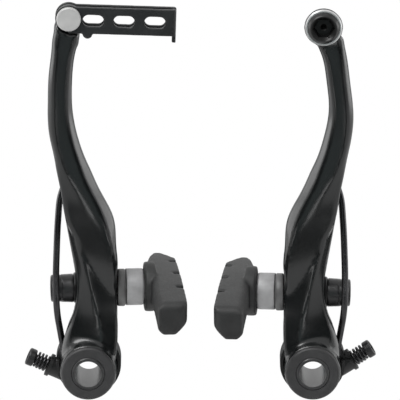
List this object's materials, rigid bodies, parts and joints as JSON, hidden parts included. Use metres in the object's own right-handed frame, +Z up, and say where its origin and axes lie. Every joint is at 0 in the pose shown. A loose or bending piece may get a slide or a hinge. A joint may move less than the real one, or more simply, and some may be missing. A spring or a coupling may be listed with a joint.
{
  "type": "v brake",
  "caption": "Linear-pull bicycle rim brake: long painted arms on sprung pivots, a slotted cable link, a cable clamp, and ball-seated brake shoes that squeeze a wheel's rim.",
  "frame": {"origin": "midway between the two pivot axes, on the plane of the bushes' back ends", "axes": "+X to the right arm (the one with the cable clamp), +Y towards the bicycle's frame along the pivots, +Z up along the arms"},
  "size_m": [0.107, 0.0589, 0.1238],
  "materials": {
    "black_arm": "gloss black paint",
    "bright_steel": "satin",
    "polished_steel": "polished",
    "black_steel": "black oxide",
    "grey_ring": "matte",
    "black_plastic": "matte",
    "link_steel": "satin",
    "shoe_rubber": "matte",
    "dark_steel": "satin"
  },
  "bodies": {
    "pivot_mounts": {"left_pivot_bush": "bright_steel", "left_front_ring": "grey_ring", "left_spring_housing": "black_plastic", "left_stop_pin": "black_steel", "left_return_spring": "black_steel", "left_screw_spring": "black_steel", "right_pivot_bush": "bright_steel", "right_front_ring": "grey_ring", "right_spring_housing": "black_plastic", "right_stop_pin": "black_steel", "right_return_spring": "black_steel", "right_screw_spring": "black_steel"},
    "left_arm": {"left_arm": "black_arm", "left_spring_peg": "black_steel", "link_rivet": "polished_steel"},
    "right_arm": {"right_arm": "black_arm", "right_spring_peg": "black_steel", "anchor_washer": "polished_steel", "anchor_bolt": "dark_steel"},
    "cable_link": {"cable_link": "link_steel"},
    "left_shoe_washers": {"left_inner_ball_washer": "bright_steel", "left_outer_ball_washer": "black_steel", "left_shoe_spacer": "bright_steel", "left_cup_washer": "black_steel"},
    "left_shoe": {"left_brake_shoe": "shoe_rubber", "left_shoe_stud": "black_steel", "left_shoe_nut": "black_steel"},
    "left_tension_screw": {"left_tension_screw": "black_steel"},
    "right_shoe_washers": {"right_inner_ball_washer": "bright_steel", "right_outer_ball_washer": "black_steel", "right_shoe_spacer": "bright_steel", "right_cup_washer": "black_steel"},
    "right_shoe": {"right_brake_shoe": "shoe_rubber", "right_shoe_stud": "black_steel", "right_shoe_nut": "black_steel"},
    "right_tension_screw": {"right_tension_screw": "black_steel"}
  },
  "joints": [
    {"name": "left_arm_pivot", "type": "hinge", "parent": "pivot_mounts", "child": "left_arm", "pos_m": [-0.0341, 0, 0], "axis": [0, -1, 0], "range_deg": [-6, 20], "stiffness_Nm_per_rad": 1.5, "deforming": ["left_return_spring"]},
    {"name": "right_arm_pivot", "type": "hinge", "parent": "pivot_mounts", "child": "right_arm", "pos_m": [0.0341, 0, 0], "axis": [0, 1, 0], "range_deg": [-6, 20], "stiffness_Nm_per_rad": 1.5, "deforming": ["right_return_spring"]},
    {"name": "link_swivel", "type": "hinge", "parent": "left_arm", "child": "cable_link", "pos_m": [-0.0397, -0.014, 0.1098], "axis": [0, -1, 0], "range_deg": [0, 60]},
    {"name": "left_shoe_height", "type": "slide", "parent": "left_arm", "child": "left_shoe_washers", "axis": [0, 0, 1], "range_m": [-0.003, 0.003]},
    {"name": "left_shoe_swivel", "type": "hinge", "parent": "left_shoe_washers", "child": "left_shoe", "pos_m": [-0.03145, -0.007, 0.0236], "axis": [-0.9969, -0.0785, 0], "range_deg": [-15, 15]},
    {"name": "left_tension_adjust", "type": "slide", "parent": "pivot_mounts", "child": "left_tension_screw", "axis": [0.9171, 0, -0.3987], "range_m": [0, 0.0016], "deforming": ["left_screw_spring"]},
    {"name": "right_shoe_height", "type": "slide", "parent": "right_arm", "child": "right_shoe_washers", "axis": [0, 0, 1], "range_m": [-0.003, 0.003]},
    {"name": "right_shoe_swivel", "type": "hinge", "parent": "right_shoe_washers", "child": "right_shoe", "pos_m": [0.03145, -0.007, 0.0222], "axis": [0.9969, -0.0785, 0], "range_deg": [-15, 15]},
    {"name": "right_tension_adjust", "type": "slide", "parent": "pivot_mounts", "child": "right_tension_screw", "axis": [-0.848, 0, -0.5299], "range_m": [0, 0.0016], "deforming": ["right_screw_spring"]}
  ]
}
